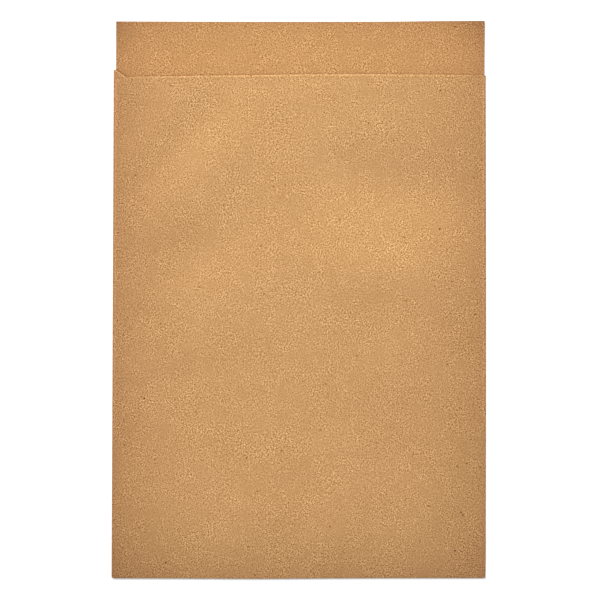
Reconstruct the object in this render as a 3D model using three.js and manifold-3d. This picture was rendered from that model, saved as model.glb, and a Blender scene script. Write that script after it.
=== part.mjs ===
// A flat paper bag, folded and glued from one sheet of recycled brown kraft paper.
// It lies empty on its back panel with its mouth towards +Y. Millimetres, +Z up.
// The origin is under the middle of the bag, on the surface that it lies on.

import * as THREE from "three";
import Module from "manifold-3d";

const wasm = await Module();
wasm.setup();

const { clamp, degToRad, lerp, smoothstep } = THREE.MathUtils;

// Paper and how tightly it is folded
const PAPER = 0.15; // thickness of the sheet, about 100 g per square metre
const GAP = 0.05; // air or glue between two layers that are pressed together
const GLUE_BITE = 0.04; // how far the glue soaks into each sheet
const GLUE_MARGIN = 1.1; // bare paper between the glue and the edge of a flap

// Body, from fold to fold
const BAG_WIDTH = 250; // along the bottom
const MOUTH_HEIGHT = 335; // from the bottom to the left end of the front panel's mouth edge
const SEAM_LEAN = 1.4; // how far the left fold leans in between the bottom and the mouth
const MOUTH_RISE = 0.9; // how much higher the mouth edge is at its right end
const MOUTH_BOW = 1; // how far the mouth edge bows up in its middle
const CORNER_DROP = 1.6; // how far the front panel's left corner is cut back
const CORNER_START = 6; // from the left fold to where the mouth edge starts to rise from the cut
const CORNER_END = 12; // and to where the cut ends
const FRONT_SETBACK = 0.5; // from the left fold to the front panel's glued edge

// Seam flap, folded in from the back panel on the left and glued under the front panel
const SEAM_WIDTH = 9.2;
const SEAM_FLAT = 1.5; // from the left fold to where the slopes of its two ends start
const SEAM_BEVEL = 5.4; // how far each end slopes from there to the free edge
const SEAM_CUT = 1.5; // from the bottom fold to its lower end at the left fold

// Closure flap, the back panel's part above the mouth
const FLAP_HEIGHT = 36.7; // from the left end of the mouth edge to the flap's top edge
const FLAP_INSET_LEFT = 1.4;
const FLAP_INSET_RIGHT = 0.7;
const LEFT_SHOULDER = 4.6; // how far the left fold runs on above the mouth edge
const RIGHT_SHOULDER = 0.7;
const FLAP_CURL = 0.7; // how far the top edge lifts off the table

// Bottom flap, turned under from the front panel and glued to the back panel
const BOTTOM_FLAP = 18;
const BOTTOM_INSET = 1.2; // from each side fold
const BOTTOM_BEVEL = 6; // how much each end narrows towards the free edge
const BOTTOM_RAMP = 25; // length in which the back panel comes down past the flap's edge

// How the front panel stands off the back panel
const PUFF = 1.9; // lift in the middle of the bag
const PUFF_LENGTH = 50; // from the bottom fold to the full lift
const MOUTH_LIFT = 1; // lift left at the middle of the mouth
const MOUTH_FALL = 110; // length in which the front panel comes down to the mouth
const SWELL_AT_MOUTH = 0.5; // share of a swell that is left at the mouth edge

// Soft swells in the front panel. Each is a long rounded ridge, or a hollow if its height is
// negative. Its centre is a share of the half width and of the mouth height, its turn is in
// degrees, and its length, width and height are half sizes in millimetres.
const SWELLS = [
  { across: -0.63, up: 0.875, turn: 48, length: 44, width: 12, height: -1.3 },
  { across: -0.43, up: 0.83, turn: 44, length: 58, width: 15, height: 0.9 },
  { across: -0.56, up: 0.64, turn: 35, length: 50, width: 18, height: -1.2 },
  { across: -0.36, up: 0.53, turn: 42, length: 50, width: 19, height: 0.55 },
  { across: 0.54, up: 0.6, turn: -3, length: 48, width: 20, height: 1.4 },
  { across: 0.5, up: 0.45, turn: 0, length: 60, width: 34, height: 0.8 },
  { across: 0.62, up: 0.78, turn: -12, length: 48, width: 17, height: -1.2 },
];

// Cells of the surface
const SEAM_CELLS = 2;
const FOLD_CELLS = 6;
const BACK_CELLS = 8;
const FRONT_CELLS = 31;
const BODY_CELLS = 40;
const FLAP_CELLS = 5;
const BOTTOM_FLAP_CELLS = 2;

const LAYER = PAPER + GAP; // from the middle of one layer to the middle of the next
const FOLD_RADIUS = LAYER / 2; // a side fold, at the middle of the paper
const FOLD_START = 1.5 * LAYER + PAPER / 2; // height up the bag at which the bottom fold starts
const HALF_WIDTH = BAG_WIDTH / 2;
const TOTAL_HEIGHT = MOUTH_HEIGHT + FLAP_HEIGHT;

// The two side folds, at their outer faces
const leftFold = (y) => -HALF_WIDTH + (SEAM_LEAN * y) / MOUTH_HEIGHT;
const RIGHT_FOLD = HALF_WIDTH;

// Share of the width at x: -1 at the left fold, 1 at the right one
function shareAcross(x, y) {
  return (2 * (x - leftFold(y))) / (RIGHT_FOLD - leftFold(y)) - 1;
}

// Height of a swell at a point: a bell across its width and another along its length
function swellHeight(swell, x, y) {
  const turn = degToRad(swell.turn);
  const dx = x - swell.across * HALF_WIDTH;
  const dy = y - swell.up * MOUTH_HEIGHT;
  const along = (dx * Math.cos(turn) + dy * Math.sin(turn)) / swell.length;
  const aside = (dy * Math.cos(turn) - dx * Math.sin(turn)) / swell.width;
  return swell.height * Math.exp(-along * along - aside * aside);
}

// Middle of the back panel: on the table, and one layer up where the bottom flap is under it
function backLevel(y) {
  const clear = BOTTOM_FLAP + GLUE_MARGIN;
  return PAPER / 2 + LAYER * (1 - smoothstep(y, clear, clear + BOTTOM_RAMP));
}

// Middle of the front panel: one layer above the back panel at the right fold, two at the left
// one where the seam flap lies between, and puffed up with its swells in between
function frontLevel(x, y) {
  const share = shareAcross(x, y);
  const seat = backLevel(y) + LAYER * (1 + (1 - share) / 2);
  const fromBottom = 1 - (1 - clamp((y - FOLD_START) / PUFF_LENGTH, 0, 1)) ** 2;
  const toMouth = smoothstep(y, MOUTH_HEIGHT - MOUTH_FALL, MOUTH_HEIGHT);
  const across = 1 - Math.abs(share) ** 3;
  const swells = SWELLS.reduce((sum, swell) => sum + swellHeight(swell, x, y), 0);
  const lift = lerp(PUFF, MOUTH_LIFT, toMouth) + swells * lerp(1, SWELL_AT_MOUTH, toMouth);
  return seat + lift * across * fromBottom;
}

// The front panel's mouth edge, with the left corner cut back
function mouthEdge(x) {
  const share = shareAcross(x, MOUTH_HEIGHT);
  const slope = (MOUTH_RISE * (1 + share)) / 2 + MOUTH_BOW * (1 - share * share);
  const cut = 1 - smoothstep(x - leftFold(MOUTH_HEIGHT), CORNER_START, CORNER_END);
  return MOUTH_HEIGHT + slope - CORNER_DROP * cut;
}

// Where the middle of the paper runs in each panel and fold. A panel's function takes a height y
// up the bag and a share from 0 to 1 of the way across it, in the order in which the panels lay
// side by side in the flat blank. It gives the place, and the way out of the outer face there.
const leftAxis = (y) => leftFold(y) + PAPER / 2 + FOLD_RADIUS;
const RIGHT_AXIS = RIGHT_FOLD - PAPER / 2 - FOLD_RADIUS;
const frontEdge = (y) => leftFold(y) + FRONT_SETBACK;

function point(x, y, z, out) {
  return { place: new THREE.Vector3(x, y, z), out: new THREE.Vector3(...out) };
}

function seamFlap(y, share) {
  const x = lerp(leftFold(y) + SEAM_WIDTH, leftAxis(y), share);
  return point(x, y, frontLevel(x, y) - LAYER, [0, 0, 1]);
}

function sideFold(axis, y, low, high, angle) {
  const out = [Math.cos(angle), 0, Math.sin(angle)];
  return point(axis + FOLD_RADIUS * out[0], y, lerp(low, high, (1 + out[2]) / 2), out);
}

function leftSideFold(y, share) {
  const axis = leftAxis(y);
  return sideFold(axis, y, backLevel(y), frontLevel(axis, y) - LAYER, Math.PI * (0.5 + share));
}

function backPanel(y, share) {
  return point(lerp(leftAxis(y), RIGHT_AXIS, share), y, backLevel(y), [0, 0, -1]);
}

function rightSideFold(y, share) {
  const high = frontLevel(RIGHT_AXIS, y);
  return sideFold(RIGHT_AXIS, y, backLevel(y), high, Math.PI * (share - 0.5));
}

function frontPanel(y, share) {
  const x = lerp(RIGHT_AXIS, frontEdge(y), share);
  return point(x, y, frontLevel(x, y), [0, 0, 1]);
}

// Top of the back panel beside the closure flap
const shoulder = (share) => MOUTH_HEIGHT + lerp(LEFT_SHOULDER, RIGHT_SHOULDER, share);

// Ends of the seam flap at a distance from the left fold: square at first, then both slope
// towards its free edge
function seamSlope(fromFold) {
  return (SEAM_BEVEL * Math.max(fromFold - SEAM_FLAT, 0)) / (SEAM_WIDTH - SEAM_FLAT);
}

const seamTop = (fromFold) => shoulder(0) - seamSlope(fromFold);
const seamBottom = (fromFold) => FOLD_START + SEAM_CUT + seamSlope(fromFold);

// Evenly spaced values from one to another
function spread(from, to, cells) {
  return Array.from({ length: cells + 1 }, (_, i) => lerp(from, to, i / cells));
}

// The body: one column of points after another across the sheet, each from its lower end up
function bodyColumn(panel, share, bottom, top) {
  return spread(bottom, top, BODY_CELLS).map((y) => panel(y, share));
}

const seamShares = [...spread(0, 1 - SEAM_FLAT / SEAM_WIDTH, SEAM_CELLS), 1];
const seamColumns = seamShares.map((share) => {
  const fromFold = (1 - share) * SEAM_WIDTH;
  return bodyColumn(seamFlap, share, seamBottom(fromFold), seamTop(fromFold));
});

const foldShares = spread(0, 1, FOLD_CELLS).slice(1);
const leftFoldColumns = foldShares.map((share) =>
  bodyColumn(leftSideFold, share, lerp(seamBottom(0), FOLD_START, share), shoulder(0)),
);
const rightFoldColumns = foldShares.map((share) =>
  bodyColumn(rightSideFold, share, FOLD_START, shoulder(1)),
);

const flapShares = spread(
  FLAP_INSET_LEFT / BAG_WIDTH,
  1 - FLAP_INSET_RIGHT / BAG_WIDTH,
  BACK_CELLS,
);
const backColumns = [...flapShares, 1].map((share) =>
  bodyColumn(backPanel, share, FOLD_START, shoulder(share)),
);

const bottomInset = BOTTOM_INSET / BAG_WIDTH;
const bottomShares = spread(bottomInset, 1 - bottomInset, FRONT_CELLS);
const frontColumns = [...bottomShares, 1].map((share) => {
  const { x } = frontPanel(MOUTH_HEIGHT, share).place;
  return bodyColumn(frontPanel, share, FOLD_START, mouthEdge(x));
});

const body = [
  ...seamColumns,
  ...leftFoldColumns,
  ...backColumns,
  ...rightFoldColumns,
  ...frontColumns,
];

// The closure flap runs on from the back panel, its top edge curled a little off the table
function closureFlapPoint(y, share) {
  const { place, out } = backPanel(y, share);
  const up = (y - shoulder(share)) / (TOTAL_HEIGHT - shoulder(share));
  return { place: place.setZ(place.z + FLAP_CURL * up * up), out };
}

const closureFlap = flapShares.map((share, i) => [
  backColumns[i].at(-1),
  ...spread(shoulder(share), TOTAL_HEIGHT, FLAP_CELLS)
    .slice(1)
    .map((y) => closureFlapPoint(y, share)),
]);

// The bottom flap runs on from the front panel, round the bottom fold and back under the bag.
// Its ends narrow from the fold to the free edge. Points go from the free edge to the fold.
const bottomTaper = (y) => (BOTTOM_BEVEL * (y - FOLD_START)) / (BOTTOM_FLAP - FOLD_START);

function bottomFlapPoint(y, x) {
  return point(x * (1 - bottomTaper(y) / HALF_WIDTH), y, PAPER / 2, [0, 0, -1]);
}

function bottomFoldPoint(turn, x) {
  const radius = (frontLevel(x, FOLD_START) - PAPER / 2) / 2;
  const out = [0, -Math.sin(turn), Math.cos(turn)];
  return point(x, FOLD_START + radius * out[1], PAPER / 2 + radius * (1 + out[2]), out);
}

const bottomFlap = bottomShares.map((share, i) => {
  const end = frontColumns[i][0];
  return [
    ...spread(BOTTOM_FLAP, FOLD_START, BOTTOM_FLAP_CELLS).map((y) => bottomFlapPoint(y, end.place.x)),
    ...spread(Math.PI, 0, FOLD_CELLS).slice(1, -1).map((turn) => bottomFoldPoint(turn, end.place.x)),
    end,
  ];
});

// Cells of a net of columns, each as its four corners, counterclockwise seen from outside
function cells(net) {
  return net.slice(1).flatMap((next, i) =>
    next.slice(1).map((corner, j) => [net[i][j], net[i][j + 1], corner, next[j]]),
  );
}

// A sheet of a thickness about a net of cells: both faces, and a cut edge where the net ends
function sheet(net, thickness) {
  const numbers = new Map();
  const places = [];
  const number = (corner) => {
    if (!numbers.has(corner)) {
      numbers.set(corner, numbers.size);
      const half = corner.out.clone().multiplyScalar(thickness / 2);
      places.push(...corner.place.clone().add(half), ...corner.place.clone().sub(half));
    }
    return 2 * numbers.get(corner);
  };
  const faces = [];
  const edges = new Map();
  for (const cell of net) {
    const [a, b, c, d] = cell.map(number);
    faces.push([a, b, c], [a, c, d], [a + 1, c + 1, b + 1], [a + 1, d + 1, c + 1]);
    for (const [from, to] of [[a, b], [b, c], [c, d], [d, a]]) {
      edges.set(`${from} ${to}`, [from, to]);
    }
  }
  for (const [from, to] of edges.values()) {
    if (!edges.has(`${to} ${from}`)) {
      faces.push([to, from, from + 1], [to, from + 1, to + 1]);
    }
  }
  const mesh = new wasm.Mesh({
    numProp: 3,
    vertProperties: new Float32Array(places),
    triVerts: new Uint32Array(faces.flat()),
  });
  return new wasm.Manifold(mesh);
}

// Glue line between the seam flap and the front panel
const seamGlue = spread(SEAM_WIDTH - GLUE_MARGIN, FRONT_SETBACK + GLUE_MARGIN, SEAM_CELLS).map(
  (fromFold) => {
    const edge = mouthEdge(leftFold(MOUTH_HEIGHT) + fromFold);
    const top = Math.min(seamTop(fromFold), edge) - GLUE_MARGIN;
    return spread(seamBottom(fromFold) + GLUE_MARGIN, top, BODY_CELLS).map((y) => {
      const x = leftFold(y) + fromFold;
      return point(x, y, frontLevel(x, y) - LAYER / 2, [0, 0, 1]);
    });
  },
);

// Glue line between the bottom flap and the back panel
const bottomGlue = spread(-1, 1, 2).map((side) =>
  spread(FOLD_START + GLUE_MARGIN, BOTTOM_FLAP - GLUE_MARGIN, 1).map((y) => {
    const reach = HALF_WIDTH - BOTTOM_INSET - FRONT_SETBACK - GLUE_MARGIN - bottomTaper(y);
    return point(side * reach, y, PAPER / 2 + LAYER / 2, [0, 0, -1]);
  }),
);

// The whole bag as one solid
const paper = sheet([...cells(body), ...cells(closureFlap), ...cells(bottomFlap)], PAPER);
const glue = [seamGlue, bottomGlue].map((net) => sheet(cells(net), GAP + 2 * GLUE_BITE));
const bag = glue.reduce((solid, line) => solid.add(line), paper).getMesh();

const geometry = new THREE.BufferGeometry();
geometry.setAttribute("position", new THREE.BufferAttribute(bag.vertProperties, 3));
geometry.setIndex(new THREE.BufferAttribute(bag.triVerts, 1));
geometry.computeVertexNormals();

const kraft = new THREE.MeshStandardMaterial({ color: 0xce9d67, roughness: 0.9, metalness: 0 });
const paperBag = new THREE.Mesh(geometry, kraft);
paperBag.name = "paper_bag";
paperBag.position.y = -TOTAL_HEIGHT / 2;

const part = new THREE.Group();
part.add(paperBag);

export default part;
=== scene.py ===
import bpy
import numpy as np
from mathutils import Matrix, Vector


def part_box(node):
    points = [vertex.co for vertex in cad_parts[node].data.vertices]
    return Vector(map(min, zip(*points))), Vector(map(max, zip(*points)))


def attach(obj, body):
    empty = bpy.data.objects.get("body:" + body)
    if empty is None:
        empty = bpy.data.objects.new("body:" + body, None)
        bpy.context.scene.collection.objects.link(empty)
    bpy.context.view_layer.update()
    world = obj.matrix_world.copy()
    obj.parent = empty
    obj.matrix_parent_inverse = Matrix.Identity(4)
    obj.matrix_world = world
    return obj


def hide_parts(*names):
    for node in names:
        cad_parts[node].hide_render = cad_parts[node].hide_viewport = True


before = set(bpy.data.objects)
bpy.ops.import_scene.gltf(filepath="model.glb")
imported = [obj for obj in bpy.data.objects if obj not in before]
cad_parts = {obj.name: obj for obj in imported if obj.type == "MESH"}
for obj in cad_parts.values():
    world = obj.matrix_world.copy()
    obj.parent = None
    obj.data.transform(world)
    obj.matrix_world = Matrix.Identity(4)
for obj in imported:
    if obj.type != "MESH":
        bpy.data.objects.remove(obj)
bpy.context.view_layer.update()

# Camera. It hangs over the bag on a long lens and looks straight down, as on a copy stand,
# so that the flat bag shows with no perspective to speak of.
MM = 0.001
PICTURE = 600  # pixels across the square picture
BAG_IN_PICTURE = 374.2  # pixels across the bag at its bottom
BAG_MIDDLE = (-1.3, 0.0)  # pixels right of and above the picture's middle
LENS = 100.0  # millimetres
SENSOR = 36.0

low, high = (np.array(corner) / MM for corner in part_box("paper_bag"))
WIDTH = high[0] - low[0]
pixel = WIDTH / BAG_IN_PICTURE  # millimetres of paper in a pixel
view_width = PICTURE * pixel

camera_data = bpy.data.cameras.new("camera")
camera_data.lens = LENS
camera_data.sensor_width = SENSOR
camera = bpy.data.objects.new("camera", camera_data)
camera.location = (
    -BAG_MIDDLE[0] * pixel * MM,
    -BAG_MIDDLE[1] * pixel * MM,
    view_width * LENS / SENSOR * MM,
)
bpy.context.collection.objects.link(camera)
bpy.context.scene.camera = camera
bpy.context.scene.view_settings.view_transform = "Standard"

# The sheet. One blank of recycled brown kraft: it is cut with its flaps, folded flat along the
# two sides, glued along the left one, and its bottom flap is turned under and glued to the
# back. Sizes are in millimetres and heights are counted up the bag from its bottom edge.
PAPER = 0.15  # thickness
GAP = 0.05  # between two layers that are pressed together
LAYER = PAPER + GAP
FOLD_RADIUS = LAYER / 2
FOLD_START = 1.5 * LAYER + PAPER / 2  # where the bottom fold begins: it turns round 3 layers
HALF_WIDTH = WIDTH / 2
TOTAL_HEIGHT = high[1] - low[1]
MOUTH_HEIGHT = 335.0  # left end of the front panel's mouth edge
MOUTH_RISE = 0.9  # how much higher its right end is
MOUTH_BOW = 1.0  # how far its middle stands above a straight line
CORNER_DROP = 1.6  # the front panel's left corner is cut back by this much
CORNER_START = 6.0  # from the left fold to where the mouth edge rises from the cut
CORNER_END = 12.0  # and to where it has risen
FRONT_SETBACK = 0.5  # from the left fold to the front panel's glued edge
SEAM_LEAN = 1.4  # how far the left fold leans in on its way up
SEAM_WIDTH = 9.2  # of the flap that is glued under the front panel
SEAM_FLAT = 1.5  # from the left fold to where its two ends start to slope
SEAM_BEVEL = 5.4  # how far they slope away
SEAM_CUT = 1.5  # from the bottom fold up to its lower end
LEFT_SHOULDER = 4.6  # how far the folds run on above the mouth edge
RIGHT_SHOULDER = 0.7
FLAP_INSET_LEFT = 1.4  # from the folds in to the closure flap's cut sides
FLAP_INSET_RIGHT = 0.7
FLAP_CURL = 0.7  # how high its top edge stands
BOTTOM_FLAP = 18.0  # height of the bottom flap's glued edge
BOTTOM_INSET = 1.2  # from the side folds in to the ends of the bottom fold
BOTTOM_BEVEL = 6.0  # how much further in the glued edge ends
GLUE_MARGIN = 1.1  # past the glued edge, before the back panel comes down to the table
BOTTOM_RAMP = 25.0  # the length that it takes to come down

# How the front panel stands off the back one
PUFF = 1.9
PUFF_LENGTH = 50.0  # from the bottom fold to where it is full
MOUTH_LIFT = 1.0  # what it has come down to at the mouth edge
MOUTH_FALL = 110.0  # the length that it comes down over
SWELL_AT_MOUTH = 0.5  # share of a swell that is left at the mouth edge
# Soft swells: centre as a share of the half width and of the mouth height, turn in degrees,
# then half length, half width and height
SWELLS = [
    (-0.63, 0.875, 48, 44, 12, -1.3),
    (-0.43, 0.83, 44, 58, 15, 0.9),
    (-0.56, 0.64, 35, 50, 18, -1.2),
    (-0.36, 0.53, 42, 50, 19, 0.55),
    (0.54, 0.6, -3, 48, 20, 1.4),
    (0.5, 0.45, 0, 60, 34, 0.8),
    (0.62, 0.78, -12, 48, 17, -1.2),
]
# Short creases that run in from the left fold, given in the same way
CREASES = [
    (-0.80, 0.385, 12, 42, 9, -0.45),
    (-0.85, 0.515, 15, 32, 8, -0.4),
    (-0.85, 0.64, 15, 32, 9, -0.4),
]
MOUTH_DIP = 0.4  # how far the knife strayed down along the left of the mouth edge
MOUTH_DIP_END = (-0.25, 0.05)  # where it came back, as shares of the half width
LIP = 1.3  # the mouth edge curls down over this length
LIP_DROP = 0.25  # share of the lift that it loses by then
CORNER_CURL = 0.35  # the glued corner at the left end of the mouth stands up by this much
CORNER_REACH = 8.0  # from the left fold to the top of that curl
CORNER_LENGTH = 26.0  # how far down from the mouth edge it starts


def mix(a, b, share):
    """The value at a share of the way from a to b."""
    return a + (b - a) * share


def smooth(x, start, end):
    """From 0 at start to 1 at end along 3s^2 - 2s^3."""
    s = np.clip((x - start) / (end - start), 0, 1)
    return s * s * (3 - 2 * s)


def left_fold(y):
    """The left fold's outer face: a straight line that leans in by SEAM_LEAN up to the mouth."""
    return -HALF_WIDTH + SEAM_LEAN * y / MOUTH_HEIGHT


def left_axis(y):
    """The line that the paper turns about at the left fold."""
    return left_fold(y) + PAPER / 2 + FOLD_RADIUS


RIGHT_AXIS = HALF_WIDTH - PAPER / 2 - FOLD_RADIUS


def share_across(x, y):
    """-1 at the left fold and 1 at the right one."""
    return 2 * (x - left_fold(y)) / (HALF_WIDTH - left_fold(y)) - 1


# Cockle: the faint unevenness that paper takes from damp, as a few crossing waves
COCKLE_WAVES = 14
COCKLE_LENGTHS = (24, 70)  # shortest and longest wave
COCKLE_HEIGHT = 0.035
COCKLE_SEED = 4
draw = np.random.default_rng(COCKLE_SEED)
cockle_turns = draw.uniform(0, np.pi, COCKLE_WAVES)
cockle_lengths = draw.uniform(*COCKLE_LENGTHS, COCKLE_WAVES)
cockle_starts = draw.uniform(0, 2 * np.pi, COCKLE_WAVES)


def cockle(x, y):
    """The sum of plane sine waves, the longer ones the higher."""
    total = 0 * x
    for turn, length, start in zip(cockle_turns, cockle_lengths, cockle_starts):
        along = x * np.cos(turn) + y * np.sin(turn)
        total = total + length / COCKLE_LENGTHS[1] * np.sin(2 * np.pi * along / length + start)
    return COCKLE_HEIGHT * total


def bells(swells, x, y):
    """The sum of long bells: each is its height times e^-(a^2 + b^2), where a and b are the
    distances along and across it in half lengths and half widths."""
    total = 0 * x
    for aside, up, turn, length, width, height in swells:
        dx, dy = x - aside * HALF_WIDTH, y - up * MOUTH_HEIGHT
        cos, sin = np.cos(np.radians(turn)), np.sin(np.radians(turn))
        a, b = (dx * cos + dy * sin) / length, (dy * cos - dx * sin) / width
        total = total + height * np.exp(-a * a - b * b)
    return total


def corner_curl(x, y):
    """A bump beside the left fold that grows towards the mouth: r e^(1 - r) across, where r is
    the distance from the fold in reaches."""
    reaches = np.clip((x - left_axis(y)) / CORNER_REACH, 0, None)
    rise = smooth(y, MOUTH_HEIGHT - CORNER_LENGTH, MOUTH_HEIGHT + LEFT_SHOULDER)
    return CORNER_CURL * rise * reaches * np.exp(1 - reaches)


def back_level(y):
    """Middle of the back panel's paper: a layer up over the bottom flap, then a smooth step down
    to the table."""
    clear = BOTTOM_FLAP + GLUE_MARGIN
    return PAPER / 2 + LAYER * (1 - smooth(y, clear, clear + BOTTOM_RAMP))


def front_seat(x, y):
    """Middle of the front panel's paper where it is pressed down: a straight line across, from
    two layers above the back panel at the left fold, over the seam flap, to one at the right."""
    return back_level(y) + LAYER * (1 + (1 - share_across(x, y)) / 2)


def front_level(x, y):
    """Middle of the front panel's paper: its seat plus a lift that is full in the middle, falls
    to the sides as 1 - |s|^3, starts as a parabola at the bottom and comes down smoothly towards
    the mouth."""
    from_bottom = 1 - (1 - np.clip((y - FOLD_START) / PUFF_LENGTH, 0, 1)) ** 2
    to_mouth = smooth(y, MOUTH_HEIGHT - MOUTH_FALL, MOUTH_HEIGHT)
    to_sides = 1 - np.abs(share_across(x, y)) ** 3
    lift = mix(PUFF, MOUTH_LIFT, to_mouth)
    lift = lift + bells(SWELLS, x, y) * mix(1, SWELL_AT_MOUTH, to_mouth)
    lift = lift + bells(CREASES, x, y) + cockle(x, y)
    return front_seat(x, y) + lift * to_sides * from_bottom + corner_curl(x, y)


def mouth_edge(x):
    """Height of the front panel's mouth edge: a straight rise and a parabola, less a smooth step
    where the knife strayed and one where the left corner is cut back."""
    share = share_across(x, MOUTH_HEIGHT)
    slope = MOUTH_RISE * (1 + share) / 2 + MOUTH_BOW * (1 - share * share)
    dip = MOUTH_DIP * (1 - smooth(share, *MOUTH_DIP_END))
    cut = 1 - smooth(x - left_fold(MOUTH_HEIGHT), CORNER_START, CORNER_END)
    return MOUTH_HEIGHT + slope - dip - CORNER_DROP * cut


def shoulder(share):
    """Top of the back panel below the closure flap: a straight line from fold to fold."""
    return MOUTH_HEIGHT + mix(LEFT_SHOULDER, RIGHT_SHOULDER, share)


def seam_slope(from_fold):
    """How far the seam flap's ends have sloped away at a distance from the left fold: nothing at
    first, then a straight slope."""
    return SEAM_BEVEL * np.clip(from_fold - SEAM_FLAT, 0, None) / (SEAM_WIDTH - SEAM_FLAT)


def seam_top(x):
    """Height of the seam flap's sloped top edge; 0 where there is no seam flap."""
    from_fold = x - left_fold(MOUTH_HEIGHT)
    return np.where(from_fold > SEAM_WIDTH, 0, shoulder(0) - seam_slope(from_fold))


# Each panel below is a function of a share s across it, in the order of the flat blank, and a
# share t up it. It gives the middle of the paper as x, y and z.


def seam_flap(s, t):
    """Runs out to the left fold, one layer under the front panel; its ends slope."""
    from_fold = (1 - s) * SEAM_WIDTH
    bottom = FOLD_START + SEAM_CUT + seam_slope(from_fold)
    y = mix(bottom, shoulder(0) - seam_slope(from_fold), t)
    x = mix(left_fold(y) + SEAM_WIDTH, left_axis(y), s)
    return x, y, front_level(x, y) - LAYER


def side_fold(axis, y, below, above, angle):
    """A half turn about a line up the bag: the cosine carries x out from the line, and the sine
    carries z between the level below and the one above."""
    return axis + FOLD_RADIUS * np.cos(angle), y, mix(below, above, (1 + np.sin(angle)) / 2)


def left_side_fold(s, t):
    """A half turn from the seam flap, out to the left and down to the back panel."""
    y = mix(mix(FOLD_START + SEAM_CUT, FOLD_START, s), shoulder(0), t)
    axis = left_axis(y)
    return side_fold(axis, y, back_level(y), front_level(axis, y) - LAYER, np.pi * (0.5 + s))


def back_panel(s, t):
    """Straight across from fold to fold, and up from the bottom fold to the shoulders."""
    y = mix(FOLD_START, shoulder(s), t)
    return mix(left_axis(y), RIGHT_AXIS, s), y, back_level(y)


def right_side_fold(s, t):
    """A half turn from the back panel, out to the right and up to the front panel."""
    y = mix(FOLD_START, shoulder(1), t) + 0 * s  # spread over the whole grid, as the axis is
    axis = RIGHT_AXIS + 0 * y
    return side_fold(axis, y, back_level(y), front_level(axis, y), np.pi * (s - 0.5))


def front_panel(s, t):
    """Straight back across from the right fold to its glued edge. Near the mouth edge it loses a
    share of its lift that grows as a parabola, apart from the cut corner."""
    x_at_mouth = mix(RIGHT_AXIS, left_fold(MOUTH_HEIGHT) + FRONT_SETBACK, s)
    y = mix(FOLD_START, mouth_edge(x_at_mouth), t)
    x = mix(RIGHT_AXIS, left_fold(y) + FRONT_SETBACK, s)
    level = front_level(x, y)
    near_mouth = np.clip(1 - (mouth_edge(x_at_mouth) - y) / LIP, 0, 1) ** 2
    near_mouth = near_mouth * smooth(x - left_fold(y), CORNER_START, CORNER_END)
    return x, y, level - LIP_DROP * near_mouth * (level - front_seat(x, y))


def closure_flap(s, t):
    """The back panel's run above its shoulders, its top edge curled up as a parabola."""
    y = mix(shoulder(s), TOTAL_HEIGHT, t)
    return mix(left_axis(y), RIGHT_AXIS, s), y, back_level(y) + FLAP_CURL * t * t


def bottom_flap(x_at_fold, t):
    """Lies flat under the bag from its free edge at t = 0 to the bottom fold at t = 1; its ends
    narrow in a straight line towards the free edge."""
    y = mix(BOTTOM_FLAP, FOLD_START, t)
    taper = BOTTOM_BEVEL * (1 - t) / HALF_WIDTH
    return x_at_fold * (1 - taper), y, PAPER / 2 + 0 * x_at_fold


def bottom_fold(x_at_fold, t):
    """A half turn about a line across the bag, from underneath round to the front. Its radius is
    half the height from the bottom flap to the front panel."""
    radius = (front_level(x_at_fold, FOLD_START) - PAPER / 2) / 2
    angle = np.pi * (1 - t)
    return (
        x_at_fold,
        FOLD_START - radius * np.sin(angle),
        PAPER / 2 + radius * (1 + np.cos(angle)),
    )


def spaced(start, end, cells):
    """Values at even steps from start to end, both included."""
    return np.linspace(start, end, cells + 1)


# Shares at which the panels are worked out, from how many rows, columns or cells of a fold each
# stretch has: closer together along the mouth edge and beside the left corners, where the cuts
# and the curl are
BODY_ROWS = 160
BODY_ROWS_END = 6.5  # below the mouth edge
MOUTH_ROWS = np.array([0, 0.3, 0.7, 1.2, 1.8, 2.5, 3.3, 4.2, 5.2])  # below the mouth edge
CORNER = 15.0  # from the left fold to where the columns get wider apart
CORNER_COLUMNS = 24
FLAP_COLUMNS = 57
FRONT_COLUMNS = 112
SEAM_COLUMNS = 16
FOLD_CELLS = 8
FLAP_ROWS = 20
BOTTOM_ROWS = 10

body_rows = spaced(0, 1 - BODY_ROWS_END / MOUTH_HEIGHT, BODY_ROWS)
body_rows = np.concatenate([body_rows, 1 - MOUTH_ROWS[::-1] / MOUTH_HEIGHT])
flap_rows = spaced(0, 1, FLAP_ROWS)[1:]
bottom_rows = spaced(0, 1, BOTTOM_ROWS)
flap_corner = spaced(FLAP_INSET_LEFT, CORNER, CORNER_COLUMNS)[:-1] / WIDTH
flap_shares = spaced(CORNER / WIDTH, 1 - FLAP_INSET_RIGHT / WIDTH, FLAP_COLUMNS)
flap_shares = np.concatenate([flap_corner, flap_shares])
bottom_corner = 1 - spaced(CORNER, BOTTOM_INSET, CORNER_COLUMNS) / WIDTH
bottom_shares = spaced(BOTTOM_INSET / WIDTH, 1 - CORNER / WIDTH, FRONT_COLUMNS)[:-1]
bottom_shares = np.concatenate([bottom_shares, bottom_corner])
fold_shares = spaced(0, 1, FOLD_CELLS)[1:]

# Panels side by side, with the width that each has in the flat blank
FOLD_LENGTH = np.pi * FOLD_RADIUS
body_panels = [
    (seam_flap, spaced(0, 1, SEAM_COLUMNS), SEAM_WIDTH),
    (left_side_fold, fold_shares, FOLD_LENGTH),
    (back_panel, np.append(flap_shares, 1), WIDTH),
    (right_side_fold, fold_shares, FOLD_LENGTH),
    (front_panel, np.append(bottom_shares, 1), WIDTH),
]

places, blanks, quads = [], [], []
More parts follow.
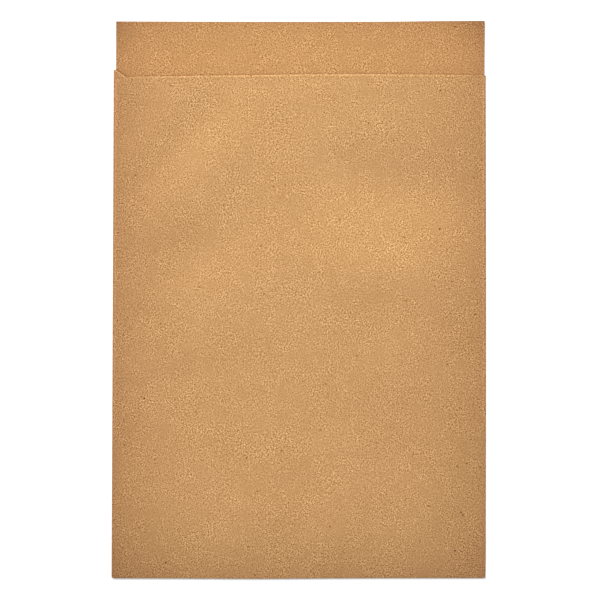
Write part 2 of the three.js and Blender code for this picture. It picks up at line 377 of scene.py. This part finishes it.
# How far a point lies from the lines and places where light and shade are painted on the paper,
# in millimetres: above the mouth edge, the seam flap's sloped edge and the bottom flap's edge on
# the panel that each lies on, below each on its own panel, in from the side folds where a
# highlight is painted, and away from the nearest corner of the closure flap or of the bag's
# bottom.
# The painted pale patch and the painted dark patch are counted in their own half sizes instead.
mark_distances = {
    "above_mouth": [],
    "below_mouth": [],
    "above_slope": [],
    "below_slope": [],
    "above_bottom_flap": [],
    "below_bottom_flap": [],
    "from_fold": [],
    "to_corner": [],
    "to_painted_light": [],
    "to_painted_shade": [],
}
# A patch of painted light and a patch of painted shade on the front panel: centre as a share of
# the half width and of the mouth height, then half size across the bag and up it
PAINTED_PATCHES = {"to_painted_light": (0.6, 0.69, 68, 26), "to_painted_shade": (0.67, 0.85, 60, 20)}
FAR = 400.0  # stands for a panel that a mark doesn't touch
FOLD_HIGHLIGHT_START = (70.0, 110.0)  # the painted highlight inside the side folds fades in between these heights
FOLD_HIGHLIGHT_FADE = 4.0  # added to their distance below that, which takes it out of reach


def lay(place, blank, **distances):
    """Adds a grid of points to the sheet, with where each was in the flat blank and how far it is
    from the marks, and gives back their numbers in that grid."""
    x, y, z = np.broadcast_arrays(*place)
    u, v = np.broadcast_arrays(*blank)
    first = sum(len(block) for block in places)
    places.append(np.stack([x, y, z], -1).reshape(-1, 3))
    blanks.append(np.stack([u, v], -1).reshape(-1, 2))
    for name, values in mark_distances.items():
        values.append((distances.get(name, FAR) + 0 * y).ravel())
    return first + np.arange(x.size).reshape(x.shape)


def weave(numbers):
    """Joins a grid of points into quads that face out of the paper's outer side."""
    corners = numbers[:-1, :-1], numbers[:-1, 1:], numbers[1:, 1:], numbers[1:, :-1]
    quads.append(np.stack(corners, -1).reshape(-1, 4))


def distances_on(panel, x, y):
    """How far points of a panel are from the painted lines and places that touch it: the
    difference in height to an edge, the difference in x to the nearer fold, the straight line to a
    corner, and for a painted patch the root of a^2 + b^2, where a and b are counted in its half
    sizes."""
    beside = HALF_WIDTH - np.abs(x)
    if panel is seam_flap:
        return {"below_slope": seam_top(x) - y}
    if panel is front_panel:
        clear = x - left_fold(MOUTH_HEIGHT) > CORNER_END
        # The highlight painted inside the side folds fades in up the bag: below it the distance is
        # pushed out of reach.
        highlight_off = FOLD_HIGHLIGHT_FADE * (1 - smooth(y, *FOLD_HIGHLIGHT_START))
        distances = {
            "below_mouth": np.where(clear, mouth_edge(x) - y, FAR),
            "from_fold": np.minimum(x - left_fold(y), beside) + highlight_off,
            "to_corner": np.hypot(beside, y),
        }
        # The painted pale patch and the painted dark patch on the front panel
        for name, (aside, up, half_across, half_up) in PAINTED_PATCHES.items():
            dx, dy = x - aside * HALF_WIDTH, y - up * MOUTH_HEIGHT
            distances[name] = np.hypot(dx / half_across, dy / half_up)
        return distances
    if panel is bottom_flap:
        return {"below_bottom_flap": BOTTOM_FLAP - y}
    if panel in (back_panel, closure_flap):
        return {
            "above_mouth": y - mouth_edge(x),
            "above_slope": y - seam_top(x),
            "above_bottom_flap": y - BOTTOM_FLAP,
            "to_corner": np.hypot(beside, TOTAL_HEIGHT - y),
        }
    return {}


columns = {}
reach = 0  # across the flat blank, from the seam flap's free edge
for panel, shares, width in body_panels:
    place = panel(shares[:, None], body_rows[None, :])
    blank = (reach + shares[:, None] * width, place[1])
    columns[panel] = lay(place, blank, **distances_on(panel, *place[:2]))
    reach += width
weave(np.concatenate(list(columns.values())))

flap_place = closure_flap(flap_shares[:, None], flap_rows[None, :])
flap_start = columns[back_panel][:-1]
flap_across = SEAM_WIDTH + FOLD_LENGTH + flap_shares[:, None] * WIDTH
flap_distances = distances_on(closure_flap, *flap_place[:2])
flap_numbers = lay(flap_place, (flap_across, flap_place[1]), **flap_distances)
weave(np.concatenate([flap_start[:, -1:], flap_numbers], 1))

front_start = columns[front_panel][:-1]
front_across = reach - WIDTH + bottom_shares[:, None] * WIDTH
x_at_fold = np.concatenate(places)[front_start[:, 0], 0][:, None]
fold_place = bottom_fold(x_at_fold, fold_shares[None, :-1])
under_place = bottom_flap(x_at_fold, bottom_rows[None, :])
under_blank = front_across, -BOTTOM_FLAP * spaced(1, 0, BOTTOM_ROWS)[None, :]
under = lay(under_place, under_blank, **distances_on(bottom_flap, *under_place[:2]))
fold = lay(fold_place, (front_across, 0 * fold_place[1]))
weave(np.concatenate([under, fold, front_start[:, :1]], 1))

# No bag is cut and folded quite straight: its edges stray by a few tenths of a millimetre
TOP_BOW = 0.3  # the flap's top edge sags in the middle
TOP_BOW_SAG = 0.5  # share of the bow that it sags by; its ends stand up by the rest
TOP_RISE = 0.35  # and it climbs at its right end
TOP_RISE_SPAN = (0.4, 0.8)  # between these shares of the half width
SIDE_BOW = 0.25  # the right fold stands out half way up
SIDE_BOW_OUT = 0.4  # share of the bow that it stands out by; its ends lie in by the rest
SIDE_BOW_END = (MOUTH_HEIGHT - 5, MOUTH_HEIGHT + 2)  # it fades out between these heights
CORNER_PULL = 0.2  # the bottom right corner is drawn in
CORNER_PULL_REACH = 15.0
BOTTOM_BOW = 0.4  # the bottom fold stands out left of its middle
BOTTOM_BOW_MIDDLE = -27.0
BOTTOM_BOW_WIDTH = 47.0
BOTTOM_BOW_REACH = 60.0


def stray(x, y):
    """How far the whole sheet shifts in its own plane at a point. The right side follows a
    parabola up the bag and e^-y at the corner, the flap's top a parabola and a smooth step across
    it, and the bottom a bell e^-a^2; each fades out away from its edge."""
    share = share_across(x, y)
    up = 2 * y / MOUTH_HEIGHT - 1
    aside = SIDE_BOW * (SIDE_BOW_OUT - up * up) - CORNER_PULL * np.exp(-y / CORNER_PULL_REACH)
    aside = aside * smooth(share, 0, 1) * (1 - smooth(y, *SIDE_BOW_END))
    top = TOP_RISE * smooth(share, *TOP_RISE_SPAN) - TOP_BOW * (TOP_BOW_SAG - share * share)
    bell = np.exp(-(((x - BOTTOM_BOW_MIDDLE) / BOTTOM_BOW_WIDTH) ** 2))
    bottom = -BOTTOM_BOW * bell * (1 - smooth(y, 0, BOTTOM_BOW_REACH))
    return aside, top * smooth(y, MOUTH_HEIGHT, TOTAL_HEIGHT) + bottom


vertices = np.concatenate(places)
vertices[:, :2] += np.stack(stray(*vertices[:, :2].T), -1)
vertices[:, 1] += low[1]
mesh = bpy.data.meshes.new("paper_bag_sheet")
mesh.from_pydata(vertices * MM, [], np.concatenate(quads).tolist())
blank_map = mesh.uv_layers.new(name="blank")
corner_vertices = np.zeros(len(mesh.loops), int)
mesh.loops.foreach_get("vertex_index", corner_vertices)
blank_map.uv.foreach_set("vector", (np.concatenate(blanks) * MM)[corner_vertices].ravel())
for name, values in mark_distances.items():
    mesh.attributes.new(name, "FLOAT", "POINT").data.foreach_set("value", np.concatenate(values))
mesh.validate()


# Recycled kraft paper: short brown fibres of many tones pressed into a matt sheet, with dark
# bark flecks and pale fibres. To the eye it is a warm tan with a fine even speckle.
def linear(code):
    """Linear colour from an sRGB hex code, by the sRGB curve: a straight start, then a power."""
    srgb = np.array([int(code[i : i + 2], 16) for i in (1, 3, 5)]) / 255
    rgb = np.where(srgb <= 0.04045, srgb / 12.92, ((srgb + 0.055) / 1.055) ** 2.4)
    return (*rgb.tolist(), 1.0)


def add(tree, kind, inputs=(), **settings):
    """Adds a node, sets its properties, gives its inputs their values or links, by place or by
    name, and gives back its outputs."""
    made = tree.nodes.new("ShaderNode" + kind)
    for name, value in settings.items():
        setattr(made, name, value)
    for name, value in inputs.items() if isinstance(inputs, dict) else enumerate(inputs):
        if isinstance(value, bpy.types.NodeSocket):
            tree.links.new(value, made.inputs[name])
        else:
            made.inputs[name].default_value = value
    return made.outputs


def new_tree(name):
    """The empty node tree of a new material."""
    material = bpy.data.materials.new(name)
    material.use_nodes = True
    material.node_tree.nodes.clear()
    return material.node_tree


# The pulp's unevenness, each list as layers of soft noise: length and width of its strokes in
# millimetres, their turn in degrees from +X, detail, and the full range of the tone
FIBRES = [
    (1.1, 0.6, 92, 1.0, 1.09),
    (1.05, 0.6, 35, 1.0, 0.99),
    (1.05, 0.6, -28, 1.0, 0.99),
]
PATCHES = [  # where the fibres show more and where less
    (8.0, 8.0, 0, 2.0, 1.8),
    (26.0, 26.0, 0, 2.0, 1.4),
]
CLOUDS = [
    (8.0, 8.0, 0, 2.0, 0.13),
    (42.0, 42.0, 0, 2.0, 0.08),
]
TONE_LIMITS = (-0.52, 0.68)  # no fibre is darker or paler than these shares of the colour
# Rare flecks: length, width, turn, space between two places in fleck sizes, share of the places
# that hold one, and tone
FLECKS = [
    (2.0, 1.35, 15, 2.5, 0.009, -0.52),
    (1.1, 0.85, 60, 2.5, 0.022, -0.4),
    (3.4, 0.6, 84, 2.5, 0.014, 0.42),
    (2.8, 0.6, 20, 2.5, 0.012, 0.30),
    (3.0, 0.5, -38, 2.5, 0.012, -0.30),
]
FLECK_EDGE = (0.5, 0.25)  # a fleck fades in between these distances from its middle, in its sizes
BARK = (1.7, 1.4, 75, 2.5, 0.0018)  # the rarest and darkest ones, without their tone
BARK_TINT = (-0.8, -0.86, -0.94)  # shares of the paper's red, green and blue that they take away
FIBRE_TINT = (1.0, 1.29, 1.9)  # dark fibres are browner than the sheet and pale ones whiter
EDGE_SHADE_TINT = (0.88, 1.1, 1.12)  # the painted shade towards the folds and edges is a little redder
UNCHANGED = (1, 1, 1)  # a tint that leaves the colour as it is
RELIEF = [(0.8, 0.8, 0, 2.0, 1.0)]  # the bumps, as a layer of soft noise of this full height
RELIEF_HEIGHT = 0.015  # millimetres
RELIEF_STRENGTH = 0.5
ROUGHNESS = 0.88  # uncoated paper is matt
SPECULAR = 0.25

# The two faces: the colour; how much darker the paper is painted towards the folds and edges, as
# painted shade (a share below 0 paints it paler), as axis, edge, side that the paper lies on,
# share and reach; and how much paler it is painted about a distance from a mark, as a painted
# highlight, or darker where the share is below 0, as painted shade, as which mark, distance, share
# and reach
OUTER_FACE = {
    "colour": "#CE9E68",
    "edges": [
        ("X", -HALF_WIDTH, 1, 0.29, 26),
        ("X", -HALF_WIDTH, 1, 0.13, 1.6),
        ("X", HALF_WIDTH, -1, 0.22, 26),
        ("X", HALF_WIDTH, -1, 0.05, 1.6),
        ("Y", low[1], 1, 0.20, 20),
        ("Y", low[1], 1, -0.05, 0.9),
    ],
    "marks": [  # painted highlights and painted shade along edges and folds, at corners and in two patches
        # Painted highlights at the mouth edge, the seam flap's sloped edge, the bottom flap's edge
        # and inside the side folds; painted shade below the mouth edge, beside the bottom flap's
        # edge and at the corners; a painted pale patch and a painted dark patch.
        ("below_mouth", 0.6, 0.08, 0.45),
        ("below_mouth", 1.7, -0.08, 0.5),
        ("below_slope", 0.5, 0.32, 0.6),
        ("below_bottom_flap", 0.4, 0.12, 0.5),
        ("above_bottom_flap", 0.5, -0.3, 0.5),
        ("from_fold", 1.65, 0.24, 0.5),
        ("to_corner", 0, -0.065, 48),
        ("to_painted_light", 0, 0.10, 1),
        ("to_painted_shade", 0, -0.05, 1),
    ],
}
INNER_FACE = {
    "colour": "#CE9A63",
    "edges": [
        ("X", -HALF_WIDTH, 1, 0.26, 26),
        ("X", -HALF_WIDTH, 1, 0.06, 5),
        ("X", HALF_WIDTH, -1, 0.23, 26),
        ("X", HALF_WIDTH, -1, 0.05, 5),
        ("Y", high[1], -1, 0.10, 12),
        ("Y", high[1], -1, 0.12, 1.4),
    ],
    "marks": [  # painted shade where an edge lies over the paper, and painted shade at the corners
        ("above_mouth", 0.7, -0.2, 0.55),
        ("above_mouth", 3.0, -0.035, 4.5),
        ("above_slope", 0.55, -0.42, 0.6),
        ("to_corner", 0, -0.14, 14),
    ],
}


def kraft(name, colour, edges, marks):
    """The material of one face of the sheet. Away from an edge the tone returns to the paper's as
    e^-(distance / reach), and about a mark it is a bell e^-a^2, where a is counted in reaches."""
    tree = new_tree(name)
    in_blank = add(tree, "UVMap", uv_map="blank")["UV"]

    def in_strokes(length, width, turn):
        """Where a point is, counted in lengths and widths of a stroke with this turn."""
        scale = (1 / (length * MM), 1 / (width * MM), 1)
        turned = {"Vector": in_blank, "Rotation": (0, 0, -np.radians(turn))}
        straight = add(tree, "Mapping", turned)["Vector"]
        return add(tree, "VectorMath", (straight, scale), operation="MULTIPLY")["Vector"]

    def uneven(layers, middle):
        """A value that swings about a middle by the sum of its layers of noise."""
        total = middle - sum(layer[-1] for layer in layers) / 2
        for length, width, turn, detail, span in layers:
            soft = {"Vector": in_strokes(length, width, turn), "Scale": 1.0, "Detail": detail}
            soft = add(tree, "TexNoise", soft, noise_dimensions="2D")["Fac"]
            total = add(tree, "Math", (soft, span, total), operation="MULTIPLY_ADD")[0]
        return total

    def strewn(length, width, turn, space, share):
        """1 on rare flecks and 0 between them: each place on a Voronoi net draws a lot, and a
        spot with a soft edge stands on those whose lot is below the share."""
        net = {"Vector": in_strokes(length * space, width * space, turn), "Scale": 1.0}
        net = add(tree, "TexVoronoi", net, voronoi_dimensions="2D")
        lot = add(tree, "SeparateColor", (net["Color"],))["Green"]
        drawn = add(tree, "Math", (lot, share), operation="LESS_THAN")[0]
        outer, inner = (edge / space for edge in FLECK_EDGE)
        near = {"Value": net["Distance"], "From Min": outer, "From Max": inner}
        fleck = add(tree, "MapRange", near, interpolation_type="SMOOTHSTEP")["Result"]
        return add(tree, "Math", (fleck, drawn), operation="MULTIPLY")[0]

    tones = (uneven(FIBRES, 0), uneven(PATCHES, 1), uneven(CLOUDS, 0))
    tones = add(tree, "Math", tones, operation="MULTIPLY_ADD")[0]
    for *fleck, tone in FLECKS:
        tones = add(tree, "Math", (strewn(*fleck), tone, tones), operation="MULTIPLY_ADD")[0]
    tones = add(tree, "Clamp", (tones, *TONE_LIMITS))["Result"]
    tinted = (tones, FIBRE_TINT, UNCHANGED)
    shade = add(tree, "VectorMath", tinted, operation="MULTIPLY_ADD")["Vector"]
    bark = (strewn(*BARK), BARK_TINT, UNCHANGED)
    bark = add(tree, "VectorMath", bark, operation="MULTIPLY_ADD")["Vector"]
    shade = add(tree, "VectorMath", (shade, bark), operation="MULTIPLY")["Vector"]

    point = add(tree, "TexCoord")["Object"]
    axes = add(tree, "SeparateXYZ", (point,))
    # Painted shade towards the folds and edges, a little redder; a share below 0 paints it paler.
    for axis, edge, side, share, reach in edges:
        away = (axes[axis], -side / (reach * MM), side * edge / reach)
        away = add(tree, "Math", away, operation="MULTIPLY_ADD")[0]
        near = add(tree, "Math", (away,), operation="EXPONENT")[0]
        loss = add(tree, "Math", (near, -share), operation="MULTIPLY")[0]
        edge_shade = (loss, EDGE_SHADE_TINT, UNCHANGED)
        edge_shade = add(tree, "VectorMath", edge_shade, operation="MULTIPLY_ADD")["Vector"]
        shade = add(tree, "VectorMath", (shade, edge_shade), operation="MULTIPLY")["Vector"]
    # Painted highlights and painted shade along the marks, as bells about their distances.
    for mark, distance, share, reach in marks:
        away = (add(tree, "Attribute", attribute_name=mark)["Fac"], 1 / reach, -distance / reach)
        away = add(tree, "Math", away, operation="MULTIPLY_ADD")[0]
        square = add(tree, "Math", (away, 2.0), operation="POWER")[0]
        bell = add(tree, "Math", (1 / np.e, square), operation="POWER")[0]
        drawn = add(tree, "Math", (bell, share, 1.0), operation="MULTIPLY_ADD")[0]
        shade = add(tree, "VectorMath", (shade, drawn), operation="MULTIPLY")["Vector"]

    relief = {
        "Height": uneven(RELIEF, 0),
        "Strength": RELIEF_STRENGTH,
        "Distance": RELIEF_HEIGHT * MM,
    }
    base = add(tree, "VectorMath", (shade, linear(colour)[:3]), operation="MULTIPLY")["Vector"]
    paper = {
        "Base Color": base,
        "Roughness": ROUGHNESS,
        "Specular IOR Level": SPECULAR,
        "Normal": add(tree, "Bump", relief)["Normal"],
    }
    add(tree, "OutputMaterial", {"Surface": add(tree, "BsdfPrincipled", paper)["BSDF"]})
    return bpy.data.materials[name]


# Cut edges: the same fibres torn short by the knife, which look paler than the face. The tufts
# are counted over the whole sheet, so that they are about a tenth of a millimetre across.
CUT_DARK = "#C79A66"
CUT_PALE = "#E6C08F"
CUT_TUFTS = 2500.0
CUT_ROUGHNESS = 0.95
CUT_SPECULAR = 0.15
tree = new_tree("kraft_cut_edge")
torn = add(tree, "TexNoise", {"Scale": CUT_TUFTS, "Detail": 2.0})["Fac"]
shades = {"Factor": torn, "A": linear(CUT_DARK), "B": linear(CUT_PALE)}
shade = add(tree, "Mix", shades, data_type="RGBA")["Result"]
paper = {"Base Color": shade, "Roughness": CUT_ROUGHNESS, "Specular IOR Level": CUT_SPECULAR}
add(tree, "OutputMaterial", {"Surface": add(tree, "BsdfPrincipled", paper)["BSDF"]})

mesh.materials.append(kraft("recycled_kraft_outer_face", **OUTER_FACE))
mesh.materials.append(kraft("recycled_kraft_inner_face", **INNER_FACE))
mesh.materials.append(bpy.data.materials["kraft_cut_edge"])

# The net of the paper's middle gets the paper's thickness, which closes it
SHARP_ANGLE = 40.0  # degrees, so that the cut edges stay crisp
sheet = bpy.data.objects.new("paper_bag_sheet", mesh)
bpy.context.collection.objects.link(sheet)
thick = sheet.modifiers.new("thickness", "SOLIDIFY")
thick.thickness = PAPER * MM
thick.offset = 0
thick.material_offset = 1  # the inner face
thick.material_offset_rim = 2  # the cut edges
evaluated = sheet.evaluated_get(bpy.context.evaluated_depsgraph_get())
solid = bpy.data.meshes.new_from_object(evaluated)
sheet.modifiers.clear()
sheet.data = solid
bpy.data.meshes.remove(mesh)
solid.shade_smooth()
solid.set_sharp_from_angle(angle=np.radians(SHARP_ANGLE))

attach(sheet, "root")
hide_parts("paper_bag")

# Floor, light and backdrop. A pale matt table that shows white and keeps the bag's shadow, one
# large soft lamp from the upper left that rakes over the paper, and an even pale sky.
FLOOR_SIZE = 8.0  # metres
FLOOR_DROP = 0.05  # millimetres that keep it clear of the paper
FLOOR_SHADE = 0.85  # share of the light that it throws back
# A glow that the camera alone sees, from one distance to the other in metres. It grows away from
# the bag, so that the table has no far edge.
FLOOR_GLOW = {"From Min": 0.6, "From Max": 2.2, "To Min": 0.3, "To Max": 1.0}
floor_mesh = bpy.data.meshes.new("floor")
half = FLOOR_SIZE / 2
floor_mesh.from_pydata(
    [(-half, -half, 0), (half, -half, 0), (half, half, 0), (-half, half, 0)], [], [(0, 1, 2, 3)]
)
floor = bpy.data.objects.new("floor", floor_mesh)
floor.location.z = -FLOOR_DROP * MM
bpy.context.collection.objects.link(floor)

tree = new_tree("white_table")
matt = add(tree, "BsdfDiffuse", {"Color": (FLOOR_SHADE, FLOOR_SHADE, FLOOR_SHADE, 1)})["BSDF"]
seen = add(tree, "LightPath")["Is Camera Ray"]
point = add(tree, "TexCoord")["Object"]
away = add(tree, "VectorMath", (point,), operation="LENGTH")["Value"]
glow = add(tree, "MapRange", {"Value": away, **FLOOR_GLOW})["Result"]
glow = add(tree, "Math", (seen, glow), operation="MULTIPLY")[0]
glow = add(tree, "Emission", {"Strength": glow})["Emission"]
add(tree, "OutputMaterial", {"Surface": add(tree, "AddShader", (matt, glow))["Shader"]})
floor_mesh.materials.append(bpy.data.materials["white_table"])

LAMP_TURN = 112.0  # degrees counterclockwise from +X to the side that the lamp stands on
LAMP_HEIGHT = 30.0  # degrees above the table
LAMP_DISTANCE = 3.6  # metres
LAMP_SIZE = 1.2  # metres
LAMP_POWER = 171.0  # watts
turn, rise = np.radians(LAMP_TURN), np.radians(LAMP_HEIGHT)
lamp_data = bpy.data.lights.new("soft_lamp", "AREA")
lamp_data.size = LAMP_SIZE
lamp_data.energy = LAMP_POWER
lamp = bpy.data.objects.new("soft_lamp", lamp_data)
lamp.location = LAMP_DISTANCE * np.array(
    [np.cos(turn) * np.cos(rise), np.sin(turn) * np.cos(rise), np.sin(rise)]
)
lamp.rotation_euler = (np.pi / 2 - rise, 0, turn + np.pi / 2)
bpy.context.collection.objects.link(lamp)

SKY_LIGHT = 0.35  # how strongly it lights the bag; the camera and reflections see it at 1
world = bpy.data.worlds.new("sky")
world.use_nodes = True
tree = world.node_tree
tree.nodes.clear()
path = add(tree, "LightPath")
seen = path["Is Camera Ray"]
for kind in ("Is Glossy Ray", "Is Transmission Ray"):
    seen = add(tree, "Math", (seen, path[kind]), operation="MAXIMUM")[0]
strength = add(tree, "Math", (seen, 1 - SKY_LIGHT, SKY_LIGHT), operation="MULTIPLY_ADD")[0]
sky = add(tree, "Background", {"Color": (1, 1, 1, 1), "Strength": strength})["Background"]
add(tree, "OutputWorld", {"Surface": sky})
bpy.context.scene.world = world
